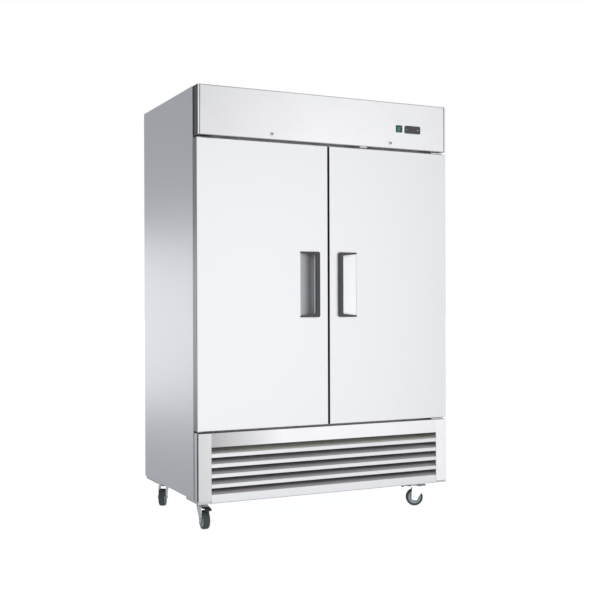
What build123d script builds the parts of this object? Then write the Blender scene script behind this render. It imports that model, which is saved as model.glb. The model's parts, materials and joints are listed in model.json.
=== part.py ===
from build123d import *
import os

# Two-door reach-in refrigerator, bottom-mounted machine, on four swivel casters.
# Millimetres. +Z is up, the doors face -Y, and the origin is on the floor under the centre.

os.makedirs("parts", exist_ok=True)

# Driving dimensions of the cabinet
WIDTH = 1382.0
HEIGHT = 2098.0
DEPTH = 842.0
HANDLE_PROUD = 7.0
FRONT_BOX = 74.0
SHEET = 1.5
WALL = 60.0
CASTER_HEIGHT = 135.0
BASE_RAIL = 12.0
SIDE_LIP = 9.5

HALF_W = WIDTH / 2
FRONT = -DEPTH / 2 + HANDLE_PROUD
BACK = DEPTH / 2
FACE = FRONT + FRONT_BOX
BOTTOM = CASTER_HEIGHT + BASE_RAIL
IN_X = HALF_W - SHEET
IN_BACK = BACK - SHEET
IN_TOP = HEIGHT - SHEET

# Doors and the front openings
DOOR_LOW = 475.0
DOOR_HIGH = 1851.0
DOOR_FRONT = FRONT + 8.0
DOOR_THICK = 55.0
DOOR_BACK = DOOR_FRONT + DOOR_THICK
DOOR_GAP = 10.0
SKIN = 1.2
INNER_PANEL = 2.0
GASKET_W = 20.0
GASKET_CLEAR = 0.4
OPEN_LOW = 503.0
OPEN_HIGH = 1826.0
MULLION = 32.0
PIVOT_IN = 18.0
PIVOT_Y = DOOR_FRONT + 21.0
PIN_R = 5.0
BUSH_R = 8.0
FIT = 0.06

# Liner and the insulated body
LINER = 1.0
CAVITY_X = HALF_W - WALL
CAVITY_BACK = IN_BACK - WALL
CAVITY_TOP = IN_TOP - WALL
BODY_LOW = 446.5
COOLER_FRONT = FACE + WALL

# Header with its controls
HEADER_LOW = 1862.5
HEADER_END = 8.0
HEADER_INSET = 4.0
SWITCH = (404.0, 1965.0)
SWITCH_SIZE = 36.0
CONTROL = (484.0, 1964.5)
CONTROL_SIZE = (92.5, 39.5)
LOCKS = {"left": -310.0, "right": 352.0}
LOCK_Z = 1889.0
LOCK_R = 10.0
PLUG_R = 6.9

# Machine cover
COVER_HIGH = 466.0
COVER_FRONT = FRONT + 2.0
COVER_X = HALF_W - 3.0
STILE_W = 63.0
SEAM_NEAR = 4.0
SEAM_FAR = 21.0
LOUVRE_TOP = 399.0
LOUVRE_LOW = 139.0
LIP = 18.0
PITCH = 47.8
FIRST_LIP = 368.0
LOUVRE_X = COVER_X - STILE_W

# Recessed pull handle, as a door's own offsets from the centre of the cabinet
PULL_NEAR = 54.0
PULL_FAR = 156.0
PULL_LOW = 1005.0
PULL_HIGH = 1327.0
PULL_BAR = 21.0
PULL_ARM = 16.0
PULL_TIP = 8.0
PULL_DEPTH = 35.0

# Casters: swivel centres, and the way each wheel trails at rest, in degrees about +Z from +X
WHEEL_R = 45.0
WHEEL_W = 32.0
TRAIL = 35.0
AXLE_R = 5.0
PEDAL_X = 17.0
PEDAL_Z = 104.0
PEDAL_PIN = 2.0
CASTERS = {
    "front_left": (-622.0, -280.0, 267.0),
    "front_right": (604.0, -295.0, 154.0),
    "rear_left": (-611.0, 338.0, 240.0),
    "rear_right": (611.0, 338.0, 215.0),
}
PLATE_LOW = CASTER_HEIGHT - 3.0
CROWN_HIGH = 112.0
CROWN_LOW = 104.0

# Inside
SHELF_LEVELS = (760.0, 1030.0, 1300.0)
SHELF_DEPTH = 560.0
SHELF_FRONT = -250.0
TRAY_HIGH = BOTTOM + 2.0
FAN_Z = 1936.0
EVAP_FAN_Y = -190.0
COND_X = -330.0
COND_FAN_Y = -170.0
COND_Z = 300.0


def block(x0, x1, y0, y1, z0, z1):
    """An axis-aligned box between the given limits."""
    centre = ((x0 + x1) / 2, (y0 + y1) / 2, (z0 + z1) / 2)
    return Pos(*centre) * Box(abs(x1 - x0), abs(y1 - y0), abs(z1 - z0))


def rod_x(x0, x1, y, z, r):
    """A cylinder along X."""
    return Pos((x0 + x1) / 2, y, z) * Rot(0, 90, 0) * Cylinder(r, abs(x1 - x0))


def rod_y(x, y0, y1, z, r):
    """A cylinder along Y."""
    return Pos(x, (y0 + y1) / 2, z) * Rot(90, 0, 0) * Cylinder(r, abs(y1 - y0))


def rod_z(x, y, z0, z1, r):
    """A cylinder along Z."""
    return Pos(x, y, (z0 + z1) / 2) * Cylinder(r, abs(z1 - z0))


def rounded_y(x, z, w, h, y0, y1, r):
    """A plate facing Y with rounded corners, from y0 to y1."""
    outline = Plane((x, y1, z), (1, 0, 0), (0, -1, 0)) * RectangleRounded(w, h, r)
    return extrude(outline, amount=y1 - y0)


def prism_x(points, x0, x1):
    """A (y, z) outline extruded along X from x0 to x1."""
    face = make_face(Polyline(*[(x0, y, z) for y, z in points], close=True))
    return extrude(face, amount=x1 - x0, dir=(1, 0, 0))


def prism_z(points, z0, z1):
    """An (x, y) outline extruded along Z from z0 to z1."""
    face = make_face(Polyline(*[(x, y, z0) for x, y in points], close=True))
    return extrude(face, amount=z1 - z0, dir=(0, 0, 1))


def hollow_y(outer, inner, y0, y1):
    """A frame facing Y: outer and inner are (x0, x1, z0, z1)."""
    frame = block(outer[0], outer[1], y0, y1, outer[2], outer[3])
    return frame - block(inner[0], inner[1], y0 - 1, y1 + 1, inner[2], inner[3])


def group(shapes):
    """Separate solids kept together in one node."""
    solids = []
    for shape in shapes:
        solids.extend(shape.solids())
    return Compound(children=solids)


def save(name, shape):
    export_step(shape, f"parts/{name}.step")


# Cabinet


def side_panel(side):
    """Outer side skin with its folded front edge and a lip that hides the door seals from the side."""
    web = block(side * IN_X, side * HALF_W, FACE - SIDE_LIP, BACK, BOTTOM, HEIGHT)
    fold = block(side * (HALF_W - 30), side * IN_X, FACE, FACE + SHEET, BOTTOM, IN_TOP)
    return web + fold


def top_panel():
    sheet = block(-IN_X, IN_X, FACE, IN_BACK, IN_TOP, HEIGHT)
    return sheet + block(-IN_X, IN_X, IN_BACK, BACK, IN_TOP - 20, HEIGHT)


def back_panel():
    """Rear skin with two vent fields at the machine space and the inlet hole."""
    sheet = block(-IN_X, IN_X, IN_BACK, BACK, BOTTOM, IN_TOP - 20)
    for column in range(14):
        x = -455 + column * 70
        sheet -= block(x - 25, x + 25, IN_BACK - 1, BACK + 1, 330, 336)
        sheet -= block(x - 25, x + 25, IN_BACK - 1, BACK + 1, 350, 356)
        sheet -= block(x - 25, x + 25, IN_BACK - 1, BACK + 1, 370, 376)
    return sheet - rod_y(INLET[0], IN_BACK - 1, BACK + 1, INLET[1], 12)


INLET = (560.0, 220.0)


def cavity(grow):
    """The refrigerated space, and the cooler's space above it, grown by a wall thickness."""
    side = CAVITY_X + grow
    low = OPEN_LOW - grow
    main = block(-side, side, FACE - 1, CAVITY_BACK + grow, low, OPEN_HIGH + grow)
    upper = block(-side, side, COOLER_FRONT - grow, CAVITY_BACK + grow, low, CAVITY_TOP + grow)
    return main + upper


def inner_liner():
    """Stainless liner with the face frame folded out round both openings."""
    tub = cavity(LINER) - cavity(0)
    tub -= block(-HALF_W, HALF_W, FACE - 2, FACE, 0, HEIGHT)
    edge = HALF_W - 30
    face = hollow_y((-edge, edge, BODY_LOW, IN_TOP), (-CAVITY_X, CAVITY_X, OPEN_LOW, OPEN_HIGH), FACE, FACE + SHEET)
    return tub + face


def foam_insulation():
    body = block(-IN_X, IN_X, FACE + SHEET, IN_BACK, BODY_LOW, IN_TOP)
    body -= block(-IN_X, IN_X, IN_BACK - 0.01, IN_BACK, IN_TOP - 20, IN_TOP)
    return body - cavity(LINER)


def center_mullion():
    """Heated centre post between the two openings, rounded at its inner corners."""
    post = block(-MULLION, MULLION, FACE, FACE + 50, OPEN_LOW, OPEN_HIGH)
    inner = post.edges().filter_by(Axis.Z).sort_by(Axis.Y)[-2:]
    return fillet(inner, 8)


# Header


def header_housing():
    """End posts, floor and roof of the control header, open at the front."""
    out = HALF_W - HEADER_INSET
    shell = block(-out, out, FRONT, FACE, HEADER_LOW, HEIGHT)
    shell -= block(-out + HEADER_END, out - HEADER_END, FRONT - 1, FACE + 1, HEADER_LOW + SHEET, HEIGHT - SHEET)
    for side in (-1, 1):
        shell -= block(side * 595, side * 680, FACE - 6, FACE + 1, HEADER_LOW - 1, HEADER_LOW + 50)
    return shell


def header_fascia():
    """Front pan of the header with the cut-outs for the controls and locks."""
    out = HALF_W - HEADER_INSET - HEADER_END - 2.5
    low, high = HEADER_LOW + SHEET + 0.5, HEIGHT - SHEET - 0.5
    pan = block(-out, out, FRONT, FRONT + 22, low, high)
    pan -= block(-out + SHEET, out - SHEET, FRONT + SHEET, FRONT + 23, low + SHEET, high - SHEET)
    cut = SWITCH_SIZE / 2 - 2
    x, z = SWITCH
    pan -= block(x - cut, x + cut, FRONT - 1, FRONT + 3, z - cut, z + cut)
    x, z = CONTROL
    w, h = CONTROL_SIZE[0] / 2 - 4, CONTROL_SIZE[1] / 2 - 4
    pan -= block(x - w, x + w, FRONT - 1, FRONT + 3, z - h, z + h)
    for x in LOCKS.values():
        pan -= rod_y(x, FRONT - 1, FRONT + 3, LOCK_Z, LOCK_R - 2)
    return pan


def control_bezels():
    """The black frame and case of the rocker, and the frame and case of the controller."""
    x, z = SWITCH
    rim = rounded_y(x, z, SWITCH_SIZE, SWITCH_SIZE, FRONT - 3, FRONT, 3)
    case = block(x - 15.9, x + 15.9, FRONT, FRONT + 24, z - 15.9, z + 15.9)
    switch = rim + case - block(x - 11.5, x + 11.5, FRONT - 4, FRONT + 20, z - 14.6, z + 14.6)
    x, z = CONTROL
    w, h = CONTROL_SIZE
    rim = rounded_y(x, z, w, h, FRONT - 3.5, FRONT, 8)
    case = block(x - w / 2 + 4.1, x + w / 2 - 4.1, FRONT, FRONT + 60, z - h / 2 + 4.1, z + h / 2 - 4.1)
    hollow = rounded_y(x, z, w - 5, h - 5, FRONT - 4, FRONT - 0.5, 5.5)
    controller = rim + case - hollow
    for dx in KEYS.values():
        controller -= rod_y(x + dx, FRONT - 4, FRONT + 8, z, 3.6)
    return group([switch, controller])


KEYS = {"set": -35.0, "up": 27.5, "down": 36.0}


def controller_window():
    """Smoked front of the controller, with a round hole for each key."""
    x, z = CONTROL
    w, h = CONTROL_SIZE
    pane = rounded_y(x, z, w - 5.2, h - 5.2, FRONT - 2.4, FRONT - 0.5, 5.4)
    for dx in KEYS.values():
        pane -= rod_y(x + dx, FRONT - 4, FRONT + 1, z, 3.2)
    return pane


def key(dx):
    """A round key that is pushed inwards."""
    x, z = CONTROL
    cap = rod_y(x + dx, FRONT - 3.6, FRONT + 4, z, 2.9)
    return fillet(cap.edges().sort_by(Axis.Y)[0], 0.6)


def switch_rocker():
    """Rocker paddle, lying on its upper half; it turns about an X axis through its middle."""
    half, front = 13.0, 9.0
    back = 4.0
    outline = [(-front, -half), (-front + 2.2, 0), (-front, half), (0, half - 2), (back, 5), (back, -5), (0, -half + 2)]
    paddle = prism_x(outline, -11, 11)
    return Pos(SWITCH[0], SWITCH_AXIS_Y, SWITCH[1]) * Rot(10, 0, 0) * paddle


SWITCH_AXIS_Y = FRONT + 8.0


def lock_barrel(x):
    rim = Pos(x, FRONT - 2, LOCK_Z) * Rot(90, 0, 0) * Cylinder(LOCK_R, 4)
    rim = fillet(rim.edges().sort_by(Axis.Y)[0], 1)
    body = rod_y(x, FRONT, FRONT + 20, LOCK_Z, LOCK_R - 2.1)
    return rim + body - rod_y(x, FRONT - 5, FRONT + 21, LOCK_Z, PLUG_R + FIT)


def lock_plug(x):
    """Plug with its keyway, and the cam behind it."""
    plug = rod_y(x, FRONT - 3.4, FRONT + 21, LOCK_Z, PLUG_R)
    plug -= block(x - 0.9, x + 0.9, FRONT - 4, FRONT + 6, LOCK_Z - 4.2, LOCK_Z + 4.2)
    cam = block(x - 5, x + 20, FRONT + 21, FRONT + 23, LOCK_Z - 5, LOCK_Z + 5)
    return plug + cam


# Hinges


def pivot_x(side):
    return side * (HALF_W - PIVOT_IN)


def hinge_bracket(side, upper):
    """Plate in the gap beside the door, its leg on the cabinet face, and its pin."""
    x = pivot_x(side)
    inner = side * (HALF_W - 85)
    outer = side * (HALF_W - 12)
    if upper:
        low, leg_low, leg_high = 1854.0, 1854.0, 1902.0
        pin = rod_z(x, PIVOT_Y, DOOR_HIGH - 24, low + 1, PIN_R)
    else:
        low, leg_low, leg_high = COVER_HIGH + 2, 430.0, COVER_HIGH + 6
        pin = rod_z(x, PIVOT_Y, low + 3, DOOR_LOW + 24, PIN_R)
    plate = block(inner, outer, PIVOT_Y - 12, FACE, low, low + 4)
    leg = block(inner, outer, FACE - 4, FACE, leg_low, leg_high)
    return plate + leg + pin


def hinge_bush(side, upper):
    """Nylon sleeve on the pin, with a flange that carries the door."""
    x = pivot_x(side)
    if upper:
        tube = rod_z(x, PIVOT_Y, DOOR_HIGH - 24, 1853.9, BUSH_R)
        flange = rod_z(x, PIVOT_Y, DOOR_HIGH + 0.4, 1853.9, BUSH_R + 4)
    else:
        tube = rod_z(x, PIVOT_Y, COVER_HIGH + 6.1, DOOR_LOW + 24, BUSH_R)
        flange = rod_z(x, PIVOT_Y, COVER_HIGH + 6.1, DOOR_LOW - 0.4, BUSH_R + 4)
    return tube + flange - rod_z(x, PIVOT_Y, DOOR_LOW - 20, DOOR_HIGH + 20, PIN_R + FIT)


def hinge_bores(side):
    """What both pins need clear inside a door."""
    x = pivot_x(side)
    low = rod_z(x, PIVOT_Y, DOOR_LOW - 1, DOOR_LOW + 26, BUSH_R + 0.09)
    high = rod_z(x, PIVOT_Y, DOOR_HIGH - 26, DOOR_HIGH + 1, BUSH_R + 0.09)
    return low + high


# Doors


def door_span(side, inset):
    """A door's own limits in X, lowest first, drawn in by inset."""
    a = side * (DOOR_GAP / 2 + inset)
    b = side * (HALF_W - inset)
    return min(a, b), max(a, b)


def pull_wedge(side, inset, extra):
    """The recess behind the pull: shallow on the hinge side, deep under the bar."""
    far = side * (PULL_FAR - inset)
    near = side * (PULL_NEAR + 3 + inset)
    deep = DOOR_FRONT + PULL_DEPTH - inset
    lip = DOOR_FRONT + 1.5 - inset
    points = [(far, DOOR_FRONT - extra), (far, lip), (near + side * 6, deep), (near, deep - 6), (near, DOOR_FRONT - extra)]
    return prism_z(points, PULL_LOW + PULL_TIP + inset, PULL_HIGH - PULL_TIP - inset)


def outer_skin(side):
    """Stainless pan: the face and four folded edges, cut out for the pull."""
    x0, x1 = door_span(side, 0)
    i0, i1 = door_span(side, SKIN)
    pan = block(x0, x1, DOOR_FRONT, DOOR_BACK, DOOR_LOW, DOOR_HIGH)
    pan -= block(i0, i1, DOOR_FRONT + SKIN, DOOR_BACK + 1, DOOR_LOW + SKIN, DOOR_HIGH - SKIN)
    return pan - pull_wedge(side, 0, 1) - hinge_bores(side)


def foam_core(side):
    i0, i1 = door_span(side, SKIN)
    core = block(i0, i1, DOOR_FRONT + SKIN, DOOR_BACK - INNER_PANEL, DOOR_LOW + SKIN, DOOR_HIGH - SKIN)
    return core - pull_wedge(side, 0, 1) - hinge_bores(side)


def inner_panel(side):
    """Inner door sheet with a raised field that stands inside the opening."""
    i0, i1 = door_span(side, SKIN)
    sheet = block(i0, i1, DOOR_BACK - INNER_PANEL, DOOR_BACK, DOOR_LOW + SKIN, DOOR_HIGH - SKIN)
    a = side * (MULLION + 18)
    b = side * (CAVITY_X - 20)
    field = block(a, b, DOOR_BACK, DOOR_BACK + 7, OPEN_LOW + 18, OPEN_HIGH - 18)
    edges = field.edges().filter_by(Axis.Y)
    return sheet + fillet(edges, 12)


def gasket(side):
    """Magnetic gasket: a hollow ribbed ring on the inner panel."""
    hinge = side * (HALF_W - 23)
    latch = side * (DOOR_GAP / 2 + 3)
    x0, x1 = min(hinge, latch), max(hinge, latch)
    z0, z1 = DOOR_LOW + 5, DOOR_HIGH - 4
    y1 = FACE - GASKET_CLEAR
    ring = hollow_y((x0, x1, z0, z1), (x0 + GASKET_W, x1 - GASKET_W, z0 + GASKET_W, z1 - GASKET_W), DOOR_BACK, y1)
    groove = hollow_y((x0 + 6, x1 - 6, z0 + 6, z1 - 6), (x0 + 9, x1 - 9, z0 + 9, z1 - 9), DOOR_BACK + 2, y1 - 3)
    side_groove = hollow_y((x0 - 1, x1 + 1, z0 - 1, z1 + 1), (x0 + 3, x1 - 3, z0 + 3, z1 - 3), DOOR_BACK + 3, DOOR_BACK + 6)
    return ring - groove - side_groove


def handle_pan(side):
    """Thin bright tray that lines the recess."""
    tray = pull_wedge(side, 0, 0) - pull_wedge(side, SKIN, 1)
    return tray


def handle_trim(side):
    """Black U: an upright bar over the deep end, and two arms that taper to the shallow end."""
    far, near = side * PULL_FAR, side * PULL_NEAR
    front = DOOR_FRONT - 15
    outer = rounded_y((far + near) / 2, (PULL_LOW + PULL_HIGH) / 2, PULL_FAR - PULL_NEAR,
                      PULL_HIGH - PULL_LOW, front, DOOR_FRONT, 9)
    outer = chamfer(outer.faces().sort_by(Axis.Y)[0].edges(), 2)
    bar = side * (PULL_NEAR + PULL_BAR)
    past = side * (PULL_FAR + 10)
    tip = PULL_TIP - (PULL_ARM - PULL_TIP) * 10 / (PULL_FAR - PULL_NEAR - PULL_BAR)
    window = [(bar, PULL_LOW + PULL_ARM), (past, PULL_LOW + tip), (past, PULL_HIGH - tip), (bar, PULL_HIGH - PULL_ARM)]
    hole = make_face(Polyline(*[(x, front - 1, z) for x, z in window], close=True))
    shape = outer - extrude(hole, amount=20, dir=(0, 1, 0))
    slope = prism_z([(side * (PULL_FAR + 1), front - 1), (bar, front - 1), (bar, front), (side * (PULL_FAR + 1), front + 9)],
                    PULL_LOW - 1, PULL_HIGH + 1)
    return shape - slope


# Machine cover


def grille_frame():
    """Two stiles and the blank panel above the louvres, folded back to the cabinet at both ends."""
    pan = block(-COVER_X, COVER_X, COVER_FRONT, COVER_FRONT + SHEET, BOTTOM, COVER_HIGH)
    pan -= block(-LOUVRE_X, LOUVRE_X, COVER_FRONT - 1, COVER_FRONT + 2, BOTTOM - 1, LOUVRE_TOP)
    top = block(-COVER_X, COVER_X, COVER_FRONT, FACE - 6, COVER_HIGH - SHEET, COVER_HIGH)
    frame = pan + top
    for side in (-1, 1):
        frame += block(side * (COVER_X - SHEET), side * COVER_X, COVER_FRONT, COVER_FRONT + SEAM_NEAR, BOTTOM, COVER_HIGH)
        frame += block(side * (COVER_X - SHEET), side * COVER_X, COVER_FRONT + SEAM_FAR, FACE, BOTTOM, COVER_HIGH)
        frame += block(side * (COVER_X - 5), side * (COVER_X - SHEET), COVER_FRONT, COVER_FRONT + SEAM_FAR + 10, BOTTOM, COVER_HIGH)
    return frame


def louvre_grille():
    """Five sloped blades with upright lips, two end strips and a deep bottom rail."""
    reach, rise = 34.0, 34.0
    t = SHEET
    y = COVER_FRONT
    blades = None
    for row in range(5):
        top = FIRST_LIP - row * PITCH
        low = top - LIP if row < 4 else LOUVRE_LOW
        outline = [(y, low), (y, top), (y + reach, top + rise), (y + reach + t, top + rise - t), (y + t, top - t), (y + t, low)]
        blade = prism_x(outline, -LOUVRE_X + 1, LOUVRE_X - 1)
        blades = blade if blades is None else blades + blade
    for x in (-LOUVRE_X + 1, 0, LOUVRE_X - 1):
        near, far = (y + 34, y + 46) if x == 0 else (y, y + 46)
        blades += block(x - 0.6, x + 0.6, near, far, BOTTOM + 1, LOUVRE_TOP - 1)
    return blades


# Base and casters


def base_frame():
    """Front and rear rails, the machine tray and the galvanised underside of the insulated body."""
    rails = []
    for y0, y1 in ((FRONT + 8, FRONT + 180), (BACK - 222, BACK - 14)):
        rail = block(-COVER_X, COVER_X, y0, y1, CASTER_HEIGHT, BOTTOM)
        rails.append(rail - block(-COVER_X + 3, COVER_X - 3, y0 + 3, y1 - 3, CASTER_HEIGHT + 3, BOTTOM + 1))
    tray = block(-IN_X, IN_X, FACE, IN_BACK, BOTTOM, TRAY_HIGH)
    rim = block(-IN_X, IN_X, FACE, FACE + 2, BOTTOM, TRAY_HIGH + 12)
    rim -= block(-HALF_W + 32, HALF_W - 32, FACE - 1, FACE, BOTTOM, TRAY_HIGH)
    floor = block(-IN_X, IN_X, FACE + SHEET, IN_BACK, BODY_LOW - SHEET, BODY_LOW)
    folds = block(-IN_X, IN_X, FACE, FACE + SHEET, BOTTOM, BODY_LOW)
    return group(rails + [tray + rim - folds, floor])


def caster_plate(x, y):
    """Top plate, ball race and kingpin."""
    plate = Pos(x, y, PLATE_LOW + 1.5) * Box(98, 84, 3)
    plate = fillet(plate.edges().filter_by(Axis.Z), 6)
    race = rod_z(x, y, CROWN_HIGH + 0.4, PLATE_LOW, 24)
    race = chamfer(race.edges().sort_by(Axis.Z)[0], 3)
    pin = rod_z(x, y, CROWN_LOW - 3, CROWN_HIGH + 1, 6)
    head = rod_z(x, y, CROWN_LOW - 6, CROWN_LOW - 0.4, 10)
    return plate + race + pin + head


def fork_shape():
    """Fork at the origin with its trail along +X: crown, two legs, the axle bolt and the pedal's pin."""
    crown = rod_z(0, 0, CROWN_LOW, CROWN_HIGH, 28)
    crown += block(-4, TRAIL + 12, -21.5, 21.5, CROWN_LOW, CROWN_LOW + 3)
    fork = crown
    for side in (-1, 1):
        inside, outside = side * 18.5, side * 21.5
        low = min(inside, outside)
        leg = [(-22, CROWN_LOW + 3), (TRAIL - 16, 39), (TRAIL - 8, 32), (TRAIL + 8, 32), (TRAIL + 16, 41), (TRAIL + 12, CROWN_LOW + 3)]
        face = make_face(Polyline(*[(x, low, z) for x, z in leg], close=True))
        fork += extrude(face, amount=3, dir=(0, 1, 0))
        fork += rod_y(TRAIL, side * 21.5, side * 27, WHEEL_R, 8.5)
        fork += block(TRAIL + 10, TRAIL + 21, inside, outside, PEDAL_Z - 4, CROWN_LOW + 3)
    fork += rod_y(TRAIL, -21.5, 21.5, WHEEL_R, AXLE_R)
    fork += rod_y(TRAIL + PEDAL_X, -18.5, 18.5, PEDAL_Z, PEDAL_PIN)
    return fork - rod_z(0, 0, CROWN_LOW - 1, CROWN_HIGH + 1, 6 + FIT)


def wheel_shape():
    """Rubber tread on a plastic hub, with its axle bore."""
    hub = Cylinder(32, WHEEL_W - 2) - Cylinder(26, 2 * 9).moved(Location((0, 0, WHEEL_W / 2)))
    hub -= Cylinder(26, 2 * 9).moved(Location((0, 0, -WHEEL_W / 2)))
    hub += Cylinder(13, 36)
    hub -= Cylinder(AXLE_R + FIT, 60)
    tread = Cylinder(WHEEL_R, WHEEL_W)
    tread = fillet(tread.edges(), 5)
    tread -= Cylinder(32, 60)
    upright = Rot(90, 0, 0)
    return [Pos(TRAIL, 0, WHEEL_R) * upright * hub, Pos(TRAIL, 0, WHEEL_R) * upright * tread]


def brake_shape():
    """Foot pedal behind the wheel, with its knuckle on the fork's pin."""
    x, z = TRAIL + PEDAL_X, PEDAL_Z
    arm = [(x + 2, z - 3), (x + 2, z + 4), (x + 34, z + 5), (x + 52, z - 3), (x + 50, z - 7), (x + 32, z)]
    face = make_face(Polyline(*[(px, -15, pz) for px, pz in arm], close=True))
    pedal = extrude(face, amount=30, dir=(0, 1, 0)) + rod_y(x, -15, 15, z, 4.5)
    return pedal - rod_y(x, -16, 16, z, PEDAL_PIN + FIT)


def at_caster(name, shape):
    x, y, turn = CASTERS[name]
    return Pos(x, y, 0) * Rot(0, 0, turn) * shape


# Shelves


def shelf_span(side):
    a, b = side * (MULLION + 14), side * (CAVITY_X - 14)
    return min(a, b), max(a, b)


def wire_shelf(side, z):
    """Wire shelf: two heavy side rods, three cross bars and the fine wires on top."""
    x0, x1 = shelf_span(side)
    y0, y1 = SHELF_FRONT, SHELF_FRONT + SHELF_DEPTH
    shelf = block(x0, x1, y0, y0 + 5, z - 5, z)
    for y in (y0 + SHELF_DEPTH / 2, y1 - 5):
        shelf += block(x0, x1, y, y + 5, z - 5, z)
    for x in (x0, x1 - 5):
        shelf += block(x, x + 5, y0, y1, z - 5, z)
    count = 20
    for i in range(1, count):
        x = x0 + (x1 - x0) * i / count
        shelf += block(x - 1.5, x + 1.5, y0, y1, z - 1.5, z + 1.5)
    return shelf


def shelf_standards():
    """Slotted standards on the side walls and mullion line, with a clip under each shelf corner."""
    parts = []
    for side in (-1, 1):
        for y in (SHELF_FRONT + 70, SHELF_FRONT + SHELF_DEPTH - 90):
            wall = side * CAVITY_X
            post = side * 8
            for base, way in ((wall, -side), (post, side)):
                face = base + way * 9
                bar = block(base, face, y, y + 20, OPEN_LOW + 30, OPEN_HIGH - 40)
                for z in SHELF_LEVELS:
                    tip = side * (CAVITY_X - 28) if base == wall else side * (MULLION + 28)
                    bar += block(face, tip, y + 3, y + 17, z - 11, z - 5.2)
                parts.append(bar)
    return group(parts)


# Refrigeration


def fan_shape(radius, blades, hub_r, length):
    """Axial fan about Y at the origin, with a blind shaft bore."""
    fan = rod_y(0, -length / 2, length / 2, 0, hub_r)
    for i in range(blades):
        blade = Pos(0, 0, (radius + hub_r - 6) / 2) * Rot(0, 0, 28) * Box(radius * 0.62, 2, radius - hub_r + 6)
        fan += Rot(0, 360 / blades * i, 0) * blade
    return fan - rod_y(0, -length / 2 + 6, length / 2 + 1, 0, 4 + FIT)


def fan_motor(x, y, z, arm):
    """Motor behind its fan, with the shaft and a mounting cross."""
    body = rod_y(x, y + 18, y + 68, z, 34)
    shaft = rod_y(x, y - 6, y + 18, z, 4)
    cross = block(x - arm, x + arm, y + 62, y + 66, z - 8, z + 8)
    upright = block(x - 8, x + 8, y + 62, y + 66, z - arm * 0.75, z + arm * 0.75)
    return body + shaft + cross + upright


def evaporator_cover():
    """Hung cover round the cooling coil: floor, sides and a front with the fan ring."""
    x, y0, y1 = 300.0, EVAP_FAN_Y - 40, 330.0
    low, high = OPEN_HIGH + 8, CAVITY_TOP
    cover = block(-x, x, y0, y1, low, high)
    cover -= block(-x + 1.5, x - 1.5, y0 + 1.5, y1 + 1, low + 1.5, high + 1)
    cover -= rod_y(0, y0 - 1, y0 + 3, FAN_Z, 92)
    for i in range(9):
        cover -= block(-240 + i * 54, -192 + i * 54, 120, 300, low - 1, low + 2)
    return cover


def coil(x0, x1, y0, y1, z0, z1, rows):
    """Finned coil: end plates, fins and hairpin tubes."""
    body = block(x0, x0 + 3, y0, y1, z0, z1) + block(x1 - 3, x1, y0, y1, z0, z1)
    count = 24
    for i in range(1, count):
        x = x0 + (x1 - x0) * i / count
        body += block(x - 0.6, x + 0.6, y0 + 3, y1 - 3, z0 + 3, z1 - 3)
    for i in range(rows):
        z = z0 + (z1 - z0) * (i + 0.5) / rows
        body += rod_x(x0 - 12, x1 + 12, (y0 + y1) / 2, z, 5)
    return body


def compressor():
    """Hermetic shell on its feet."""
    x, y = 250.0, 60.0
    shell = Pos(x, y, TRAY_HIGH + 105) * Cylinder(92, 170)
    shell = fillet(shell.edges(), 40)
    seam = rod_z(x, y, TRAY_HIGH + 108, TRAY_HIGH + 114, 96)
    foot = block(x - 105, x + 105, y - 75, y + 75, TRAY_HIGH + 12, TRAY_HIGH + 15)
    stem = rod_z(x, y, TRAY_HIGH + 14, TRAY_HIGH + 40, 60)
    mounts = None
    for dx in (-92, 92):
        for dy in (-62, 62):
            pad = rod_z(x + dx, y + dy, TRAY_HIGH, TRAY_HIGH + 12, 12)
            mounts = pad if mounts is None else mounts + pad
    cover = block(x - 118, x - 86, y - 40, y + 40, TRAY_HIGH + 70, TRAY_HIGH + 150)
    return shell + seam + foot + stem + mounts + cover


def pipe(points, radius, bend):
    """A copper pipe along a route of straight runs and round bends."""
    route = FilletPolyline(*points, radius=bend)
    start = Plane(points[0], z_dir=Vector(*points[1]) - Vector(*points[0]))
    return sweep(start * Circle(radius), path=route)


def refrigerant_pipes():
    """Discharge and suction lines, and the filter drier."""
    low = TRAY_HIGH
    discharge = pipe([(250, 155.0, low + 150), (250, 200, low + 150), (-60, 200, low + 150), (-60, -60, low + 150),
                      (-60, -60, low + 60)], 4, 20)
    suction = pipe([(345.0, 60, low + 150), (420, 60, low + 150), (420, 300, low + 150), (420, 300, low + 290)], 6, 26)
    drier = rod_z(-60, -60, low + 10, low + 60, 12)
    return group([discharge, suction, drier])


def condensate_pan():
    pan = block(-560, -120, 150, 390, TRAY_HIGH, TRAY_HIGH + 45)
    return pan - block(-558, -122, 152, 388, TRAY_HIGH + 2, TRAY_HIGH + 46)


def electrical_box():
    """Control box on the tray, and the power inlet through the back panel."""
    x, z = INLET
    box = block(x - 90, x + 90, 270, 392, TRAY_HIGH, TRAY_HIGH + 150)
    box = fillet(box.edges().filter_by(Axis.Z), 6)
    inlet = rod_y(x, 392, BACK, z, 11)
    inlet += rod_y(x, IN_BACK - 6, IN_BACK - 2, z, 17)
    return box + inlet - rod_y(x, 400, BACK + 1, z, 6)


def interior_lamp():
    """Long lamp under the front of the cooler cover."""
    lamp = block(-260, 260, EVAP_FAN_Y + 20, EVAP_FAN_Y + 50, OPEN_HIGH - 8, OPEN_HIGH + 8)
    return fillet(lamp.edges().filter_by(Axis.X).sort_by(Axis.Z)[:2], 6)


def screw_head(x, y, z, r):
    """A pan-head screw on the cabinet face."""
    head = rod_y(x, y - 2.4, y, z, r)
    return fillet(head.edges().sort_by(Axis.Y)[0], 1.6)


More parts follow.
